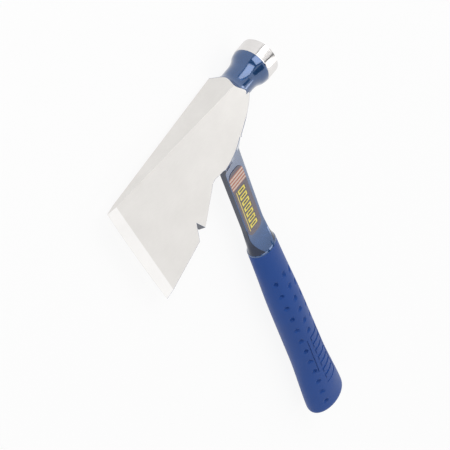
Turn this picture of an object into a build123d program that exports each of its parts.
from build123d import *
import os
from math import cos, degrees, pi, radians, sin, sqrt

os.makedirs("parts", exist_ok=True)

# All-steel roofing hatchet, lying on its side. Millimetres.
# Origin: centre of the striking face. +X out of the striking face, +Y towards the
# top of the head along the handle, +Z out of the side that carries the label.

# ---------------------------------------------------------------- driving dimensions
OVERALL_LENGTH = 328.0      # top of the head to the end of the grip
SHANK_SETBACK = 53.0        # striking face to the middle of the shank
HEAD_REACH = 148.5          # striking face to the toe of the cutting edge
HEAD_TOP = 10.9             # flat top of the head above the axis of the poll

POLL_RADIUS = 13.1          # hammer end
POLL_RING = 10.5            # polished length behind the striking face
POLL_CHAMFER = 0.8          # break round the striking face
SHOULDER_STEP = 0.4         # the enamelled shoulder is smaller in radius than the ring
SHOULDER_LENGTH = 1.0       # straight length of that shoulder
SHOULDER_SHARE = 0.25       # part of the way to the waist that is a straight bevel
NECK_RADIUS = 9.75          # waist of the neck
SPIGOT_LENGTH = 8.5         # the neck runs on into the head by this much
NECK_BANDS = 3              # conical bands that make up the hollow of the neck
SPIGOT_TAPER = 1.2          # and narrows by this much in radius
WAIST_SETBACK = 22.0        # striking face to the waist
TOP_FLARE = (28.3, 11.0)    # setback and radius of the flare from the neck to the flat top
BACK_FLARE = (27.6, 13.0)   # setback and reach of the straight flare towards its back
FLARE_SPLIT = -2.0          # the two flares meet this far from the axis of the poll
CHEEK_END = 22.0            # striking face to where the two cheeks would end

EDGE_LENGTH = 89.3          # cutting edge, toe to heel: three and a half inches
EDGE_RAKE = 7.0             # cutting edge leans in towards the handle, in degrees
EDGE_BULGE = 0.6            # how far the edge is curved out over its length
EDGE_LAND = 0.3             # thickness of the honed edge
BEVEL_WIDTH = 6.4           # ground bevel behind the edge
BLADE_THICKNESS = 2.8       # across the two cheeks at the bevel
HEAD_THICKNESS = 21.4       # across the two cheeks there

HEEL_SLOPE = 22.0           # bottom edge rises from the heel, in degrees
LIP_SETBACK = 47.9          # middle of the shank to the lower lip of the nail slot
SLOT_MOUTH = 9.7            # across the lips of the nail slot
SLOT_MOUTH_SLOPE = 34.5     # line through both lips, in degrees
SLOT_SLOPE = 78.5           # blade-side wall of the slot, in degrees
SLOT_DEPTH = 15.6           # along that wall
SLOT_RIDGE = 3.0            # sharp ridge on the handle wall stands this far into the slot
SLOT_LAND = 1.0             # thickness of that ridge
SLOT_OVERSHOOT = 1.5        # the cutter for the slot runs out past its lips
BEARD_SLOPE = 53.4          # back of the beard, in degrees
ROOT_RADIUS = 31.2          # arc where the ground cheeks end over the shank
ROOT_SETBACK = 14.0         # centre of that arc, in front of the shank
ROOT_DROP = 2.0             # centre of that arc, below the axis of the poll
BACK_SLOPE = 44.0           # back of the head between shank and neck, in degrees
BACK_ROUND = 1.2            # rounding of the back of the head
ROOT_FLARE = 11.0           # length of the ramp from the cheeks to the shank
ROOT_STEP = 9.3             # half thickness that the ramp climbs to, inside the rim
ROOT_SWEEP = 50.0           # the ramp runs round this far from the back of the head, in degrees
ROOT_INSET = 2.5            # the ramp would reach that height this far inside the rim
FOOT_FILLET = 5.0           # inside corners where the shank and the beard meet the head

SHANK_WIDTH = 17.5
SHANK_THICKNESS = 4.4
COLLAR_WIDTH = 24.2         # oval collar that the grip butts against
COLLAR_THICKNESS = 17.6
COLLAR_SHIFT = 1.0          # middle of the collar, behind the middle of the shank
COLLAR_FLARE = 17.0         # length of the flare from shank to collar
GRIP_LENGTH = 195.1         # mouth of the grip to its end

TANG_WIDTH = 16.0           # where it enters the grip
TANG_TIP_WIDTH = 12.0
TANG_THICKNESS = 5.0
TANG_COVER = 13.0           # grip material beyond the end of the tang
TANG_HOLE_RADIUS = 3.6      # the grip is moulded through these holes
TANG_HOLES = (0.22, 0.5)    # their places along the grip
HANG_HOLE_RADIUS = 2.7      # hole through the end of the grip
HANG_HOLE_COVER = 21.9      # its centre to the end of the grip
HANG_HOLE_WALL = 2.2        # grip material between the hang hole and the tang

GRIP_WIDTH = 24.2           # at the mouth
GRIP_THICKNESS = 17.8
GRIP_WIDENING = 8.4         # steady growth in width from mouth to end
GRIP_SWELL = 6.8            # growth in thickness over the first third
GRIP_FLARE = 5.6            # extra width of the flared end
GRIP_DRIFT = 7.5            # the grip leans back by this much at its end
GRIP_END_ROUND = 5.5        # rounding of the end
GRIP_STATIONS = 15          # sections along the grip
HOLE_MARGIN = 4.2           # sections stand this far to each side of the hang hole
END_STATIONS = 5            # sections round its end
SWELL_SPAN = 0.36           # share of the grip over which it thickens
FLARE_FROM = 0.64           # place where the end starts to flare
FLARE_SPAN = 0.34

ENAMEL = 0.15               # thickness of the baked enamel
LABEL_WIDTH = 14.4
LABEL_CORNER = 5.2
LABEL_THICKNESS = 0.12
LABEL_GAP = 17.5            # mouth of the grip to the end of the label
LABEL_ROOT_GAP = 13.8       # rim of the ground cheeks to the top of the label
LABEL_SHIFT = -0.9          # from the middle of the shank

# ---------------------------------------------------------------- places worked out
SHANK_X = -SHANK_SETBACK
COLLAR_X = SHANK_X + COLLAR_SHIFT
GRIP_END_Y = HEAD_TOP - OVERALL_LENGTH
MOUTH_Y = GRIP_END_Y + GRIP_LENGTH
FLARE_Y = MOUTH_Y + COLLAR_FLARE
WAIST_X = -WAIST_SETBACK
HANG_PLACE = 1 - HANG_HOLE_COVER / GRIP_LENGTH
CHEEK_SLOPE = (HEAD_THICKNESS - BLADE_THICKNESS) / 2 / (HEAD_REACH - CHEEK_END - BEVEL_WIDTH)
BIG = 2 * OVERALL_LENGTH    # larger than the whole tool, for cutting blocks


def step(start, slope, length):
    """Point at a length and slope (degrees) from start, in the XY plane."""
    return start + Vector(cos(radians(slope)), sin(radians(slope))) * length


TOE = Vector(-HEAD_REACH, HEAD_TOP)
HEEL = step(TOE, EDGE_RAKE - 90, EDGE_LENGTH)
LOWER_LIP = step(HEEL, HEEL_SLOPE, (SHANK_X - LIP_SETBACK - HEEL.X) / cos(radians(HEEL_SLOPE)))
UPPER_LIP = step(LOWER_LIP, SLOT_MOUTH_SLOPE, SLOT_MOUTH)
SLOT_BOTTOM = step(LOWER_LIP, SLOT_SLOPE, SLOT_DEPTH)
ROOT_CENTRE = Vector(SHANK_X - ROOT_SETBACK, -ROOT_DROP)
ROOT_RIM = ROOT_RADIUS + BACK_ROUND
BACK_START = step(ROOT_CENTRE, BACK_SLOPE - 90, ROOT_RIM)


def beard_root():
    """Where the back of the beard runs into the round root."""
    along = step(Vector(), BEARD_SLOPE, 1)
    offset_in = UPPER_LIP - ROOT_CENTRE
    reach = -offset_in.dot(along)
    aside = (offset_in + along * reach).length
    return step(UPPER_LIP, BEARD_SLOPE, reach - sqrt(ROOT_RIM ** 2 - aside ** 2))


BEARD_ROOT = beard_root()


# ---------------------------------------------------------------- cutting blocks
def block(low, high):
    """Box between two corners."""
    size = [b - a for a, b in zip(low, high)]
    return Pos(*low) * Box(*size, align=(Align.MIN, Align.MIN, Align.MIN))


def prism(face, half):
    """A flat face in the XY plane, thickened to both sides."""
    return extrude(face, half, both=True)


def cheek_wedge():
    """Space between the two ground cheeks, which taper towards the cutting edge."""
    def half(u):
        return BLADE_THICKNESS / 2 + CHEEK_SLOPE * (u - BEVEL_WIDTH)
    near, far = -BEVEL_WIDTH, HEAD_REACH + POLL_RADIUS
    corners = [(near, -half(near)), (far, -half(far)), (far, half(far)), (near, half(near))]
    along = (HEEL - TOE).normalized()
    inward = Vector(-along.Y, along.X)
    section = Plane(origin=TOE, x_dir=inward, z_dir=along * -1)
    face = section * make_face(Polyline(*corners, close=True))
    return extrude(face, BIG, both=True)


def bevel_ring():
    """Part of a very large disc whose tapered rim gives the edge its bevels and its curve."""
    rim = EDGE_LENGTH ** 2 / (8 * EDGE_BULGE) + EDGE_BULGE / 2
    land = EDGE_LAND / 2
    taper = (BLADE_THICKNESS / 2 - land) / BEVEL_WIDTH
    deep = HEAD_THICKNESS
    inner = rim - (deep - land) / taper
    core = rim - HEAD_REACH - BIG / 10
    half = [(core, 0), (rim, 0), (rim, land), (inner, deep), (core, deep)]
    along = (HEEL - TOE).normalized()
    inward = Vector(-along.Y, along.X)
    middle = (TOE + HEEL) * 0.5
    centre = middle + inward * (rim - EDGE_BULGE)
    start = Plane(origin=centre, x_dir=inward * -1, z_dir=along)
    face = start * make_face(Polyline(*half, close=True))
    face += start * make_face(Polyline(*[(r, -z) for r, z in half], close=True))
    sweep = degrees(OVERALL_LENGTH / rim)
    axis = Axis(centre, (0, 0, 1))
    return revolve(face, axis, sweep) + revolve(face, axis, -sweep)


# ---------------------------------------------------------------- outlines
def back_top():
    """Where the back of the head runs out inside the neck, level with the poll axis."""
    return step(BACK_START, BACK_SLOPE, -BACK_START.Y / sin(radians(BACK_SLOPE)))


def side_outline():
    """Side view: top, cutting edge, heel, beard, round root, back, and the shank below them."""
    front = TOE.X - BEVEL_WIDTH
    below_heel = step(HEEL, HEEL_SLOPE, (front - HEEL.X) / cos(radians(HEEL_SLOPE)))
    neck_top = Vector(back_top().X, HEAD_TOP)
    front_side = Polyline(neck_top, (front, HEAD_TOP), below_heel, LOWER_LIP, UPPER_LIP,
                          BEARD_ROOT)
    arc = ThreePointArc(BEARD_ROOT, step(ROOT_CENTRE, -90, ROOT_RIM), BACK_START)
    back = Polyline(BACK_START, back_top(), neck_top)
    head = make_face(Curve() + [front_side, arc, back])
    length = ROOT_CENTRE.Y - FLARE_Y
    shank = Pos(SHANK_X, FLARE_Y + length / 2) * Rectangle(SHANK_WIDTH, length)
    return offset(offset(head + shank, FOOT_FILLET), -FOOT_FILLET)


# ---------------------------------------------------------------- forging and its enamel
def poll_ring():
    """Polished hammer end, with a small break round its face."""
    outline = Polyline((-POLL_RING, 0), (0, 0), (0, POLL_RADIUS - POLL_CHAMFER),
                       (-POLL_CHAMFER, POLL_RADIUS), (-POLL_RING, POLL_RADIUS), close=True)
    return revolve(make_face(outline), Axis.X)


def neck(coat):
    """Turned neck: shoulder, waist, and a plain spigot that runs on into the head."""
    full = POLL_RADIUS - SHOULDER_STEP + coat
    waist = NECK_RADIUS + coat
    shoulder = -POLL_RING - SHOULDER_LENGTH
    spigot = WAIST_X - SPIGOT_LENGTH
    turn = (shoulder + (WAIST_X - shoulder) * SHOULDER_SHARE,
            full + (waist - full) * SHOULDER_SHARE)
    hollow = TangentArc((WAIST_X, waist), turn, tangent=(1, 0))
    sides = [hollow @ (1 - i / NECK_BANDS) for i in range(NECK_BANDS + 1)]
    outline = Polyline((-POLL_RING, 0), (-POLL_RING, full), (shoulder, full), *sides,
                       (spigot, waist - SPIGOT_TAPER), (spigot, 0), close=True)
    return revolve(make_face(outline), Axis.X)


def flare_cutter(setback, reach, curve, coat):
    """Ring-shaped cutter that flares the head out from the neck along a curve."""
    low = NECK_RADIUS + coat
    end = (-setback - reach + coat, NECK_RADIUS + reach)
    outer = HEAD_REACH / 2
    outline = [
        curve((-setback, low), end),
        Polyline(end, (end[0], outer), (WAIST_X, outer), (WAIST_X, low), (-setback, low)),
    ]
    return revolve(make_face(Curve() + outline), Axis.X)


def neck_flares(coat):
    """The two flares: a round one under the flat top, and a straight one towards the back."""
    def hollow(start, end):
        """Quarter round that leaves the neck smoothly."""
        return TangentArc(start, end, tangent=(-1, 0))
    above = block((-BIG, FLARE_SPLIT, -BIG), (BIG, BIG, BIG))
    below = block((-BIG, -BIG, -BIG), (BIG, FLARE_SPLIT, BIG))
    return (flare_cutter(*TOP_FLARE, hollow, coat) & above) + (
        flare_cutter(*BACK_FLARE, Line, coat) & below)


def root_cutter(coat):
    """Cuts the ramp from the rim of the ground cheeks down to the flat of the shank."""
    flat = SHANK_THICKNESS / 2 + coat
    top = ROOT_STEP + coat
    near, far = ROOT_RADIUS - ROOT_INSET, ROOT_RADIUS + ROOT_FLARE
    reach = ROOT_CENTRE.Y - MOUTH_Y
    half = Polyline((far, flat), (reach, flat), (reach, HEAD_THICKNESS), (near, HEAD_THICKNESS),
                    (near, top), close=True)
    start = (BACK_START - ROOT_CENTRE).normalized()
    section = Plane(origin=ROOT_CENTRE, x_dir=start, z_dir=(start.Y, -start.X, 0))
    above = revolve(section * make_face(half), Axis(ROOT_CENTRE, (0, 0, -1)), ROOT_SWEEP)
    return above + mirror(above, Plane.XY)


def grown(face, coat):
    """Outline grown by the enamel, or as it is for the bare forging."""
    return offset(face, coat, kind=Kind.INTERSECTION) if coat else face


def head_block(coat):
    """Wedge-shaped head and flat shank: cheeks, flat top, bevels, ramps and rounded back."""
    body = prism(grown(side_outline(), coat), HEAD_THICKNESS) & cheek_wedge()
    outward = step(Vector(), BACK_SLOPE - 90, 1)
    def on_back(edge):
        """True for the two long edges of the straight back."""
        middle = edge @ 0.5
        beyond = (Vector(middle.X, middle.Y) - ROOT_CENTRE).dot(outward)
        return abs(middle.Z) > 1 and abs(beyond - ROOT_RIM - coat) < 0.01
    body = fillet(body.edges().filter_by(on_back), BACK_ROUND)
    body &= block((-BIG, -BIG, -BIG), (WAIST_X, HEAD_TOP, BIG))
    body -= root_cutter(coat)
    return (body & bevel_ring()) - neck_flares(coat) - nail_slot(coat)


def nail_slot(coat):
    """V-shaped cutter; the handle wall of the slot keeps a sharp ridge between two ramps."""
    blade_wall = (LOWER_LIP - SLOT_BOTTOM) * SLOT_OVERSHOOT
    handle_wall = (UPPER_LIP - SLOT_BOTTOM) * SLOT_OVERSHOOT
    triangle = Polyline(SLOT_BOTTOM, SLOT_BOTTOM + blade_wall, SLOT_BOTTOM + handle_wall,
                        close=True)
    opening = prism(grown(make_face(triangle), -coat), HEAD_THICKNESS)
    cheek = BLADE_THICKNESS / 2 + CHEEK_SLOPE * (UPPER_LIP.X + HEAD_REACH - BEVEL_WIDTH)
    half = [(-SLOT_RIDGE, cheek), (0, cheek), (SLOT_RIDGE, SLOT_LAND / 2)]
    corners = half + [(x, -z) for x, z in reversed(half)]
    run = handle_wall.length
    into_slot = Vector(handle_wall.Y, -handle_wall.X).normalized()
    section = Plane(origin=SLOT_BOTTOM + into_slot * coat, x_dir=into_slot, z_dir=handle_wall)
    ridge = extrude(section * make_face(Polyline(*corners, close=True)), run, both=True)
    return opening - ridge


def collar(coat):
    """Oval end of the shank, which flares out of its flat faces and edges."""
    wide, thick = COLLAR_WIDTH / 2 + coat, COLLAR_THICKNESS / 2 + coat
    narrow, thin = SHANK_WIDTH / 2 + coat, SHANK_THICKNESS / 2 + coat
    def flared(start, back_end, front_end):
        """Outline of one view, with two concave flanks."""
        flanks = []
        for end in (back_end, front_end):
            lines = [Polyline((end, MOUTH_Y), (0, MOUTH_Y), (0, FLARE_Y), (start, FLARE_Y)),
                     TangentArc((start, FLARE_Y), (end, MOUTH_Y), tangent=(0, -1))]
            flanks.append(make_face(Curve() + lines))
        return flanks[0] + mirror(flanks[1], Plane.YZ)
    from_side = flared(narrow, wide + COLLAR_SHIFT, wide - COLLAR_SHIFT)
    side = Pos(SHANK_X, 0) * prism(from_side, COLLAR_WIDTH)
    from_edge = flared(thin, thick, thick)
    edge = Pos(SHANK_X, 0) * Rot(0, 90, 0) * prism(from_edge, COLLAR_WIDTH)
    mouth = Plane(origin=(COLLAR_X, MOUTH_Y, 0), x_dir=(1, 0, 0), z_dir=(0, -1, 0))
    oval = extrude(mouth * Ellipse(wide, thick), -COLLAR_FLARE)
    return side & edge & oval


def forging(coat=0.0):
    """Head, neck, root, shank and collar; a coat grows only what is enamelled."""
    return head_block(coat) + neck(coat) + collar(coat) + poll_ring()


def tang():
    """Bar inside the grip, with the holes that the grip is moulded through."""
    tip_y = GRIP_END_Y + TANG_COVER
    share = (MOUTH_Y - tip_y) / GRIP_LENGTH
    tip_x = COLLAR_X + GRIP_DRIFT * share
    wide, narrow = TANG_WIDTH / 2, TANG_TIP_WIDTH / 2
    corners = [(COLLAR_X - wide, MOUTH_Y), (COLLAR_X + wide, MOUTH_Y),
               (tip_x + narrow, tip_y), (tip_x - narrow, tip_y)]
    body = prism(make_face(Polyline(*corners, close=True)), TANG_THICKNESS / 2)
    for place in TANG_HOLES:
        body -= hole_through(place, TANG_HOLE_RADIUS)
    return body - hole_through(HANG_PLACE, HANG_HOLE_RADIUS + HANG_HOLE_WALL)


def hole_through(place, radius):
    """Round bar across the grip at a place along it, 0 at the mouth and 1 at the end."""
    spot = Pos(COLLAR_X + GRIP_DRIFT * place, MOUTH_Y - GRIP_LENGTH * place)
    return spot * Cylinder(radius, 2 * GRIP_WIDTH)


# ---------------------------------------------------------------- grip
def ease(t):
    """Smooth step from 0 to 1."""
    t = min(max(t, 0.0), 1.0)
    return t * t * (3 - 2 * t)


def grip_size(place):
    """Middle, half width and half thickness of the grip at a place along it."""
    middle = COLLAR_X + GRIP_DRIFT * place
    width = GRIP_WIDTH + GRIP_WIDENING * place + GRIP_FLARE * ease((place - FLARE_FROM) / FLARE_SPAN)
    thickness = GRIP_THICKNESS + GRIP_SWELL * ease(place / SWELL_SPAN)
    return middle, width / 2, thickness / 2


def grip_oval(place, inset):
    """Section of the grip, smaller all round by the inset."""
    middle, wide, thick = grip_size(place)
    plane = Plane(origin=(middle, MOUTH_Y - GRIP_LENGTH * place, 0),
                  x_dir=(1, 0, 0), z_dir=(0, -1, 0))
    return plane * Ellipse(wide - inset, thick - inset)


def grip_form():
    """Ovals along the length of the grip, lofted, and closed by a rounded end."""
    turn = 1 - GRIP_END_ROUND / GRIP_LENGTH
    margin = HOLE_MARGIN / GRIP_LENGTH
    places = [turn * i / GRIP_STATIONS for i in range(GRIP_STATIONS + 1)]
    places = [place for place in places if abs(place - HANG_PLACE) > margin]
    places += [HANG_PLACE - margin, HANG_PLACE + margin]
    sides = [grip_oval(place, 0) for place in sorted(places)]
    end = []
    for i in range(END_STATIONS + 1):
        angle = pi / 2 * i / END_STATIONS
        place = 1 - GRIP_END_ROUND * (1 - sin(angle)) / GRIP_LENGTH
        end.append(grip_oval(place, GRIP_END_ROUND * (1 - cos(angle))))
    return loft(sides, ruled=True) + loft(end, ruled=True)


def grip():
    """Grip moulded over the tang, through its holes and round its end."""
    body = grip_form()
    body -= tang()
    return body - hole_through(HANG_PLACE, HANG_HOLE_RADIUS)


# ---------------------------------------------------------------- label
def label():
    """Thin label with rounded ends on the flat of the shank."""
    top = ROOT_CENTRE.Y - ROOT_RADIUS - LABEL_ROOT_GAP
    bottom = MOUTH_Y + LABEL_GAP
    face = RectangleRounded(LABEL_WIDTH, top - bottom, LABEL_CORNER)
    level = SHANK_THICKNESS / 2 + ENAMEL
    return Pos(SHANK_X + LABEL_SHIFT, (top + bottom) / 2, level) * extrude(face, LABEL_THICKNESS)


# ---------------------------------------------------------------- the pieces
bare_head = forging()
pieces = {
    "head_and_shank_forging": bare_head + tang(),
    "enamel_coat": forging(ENAMEL) - bare_head,
    "shank_label": label(),
    "moulded_grip": grip(),
}
for name, shape in pieces.items():
    export_step(shape, f"parts/{name}.step")
    print(name, len(shape.solids()), "solid", round(shape.volume), "mm3")
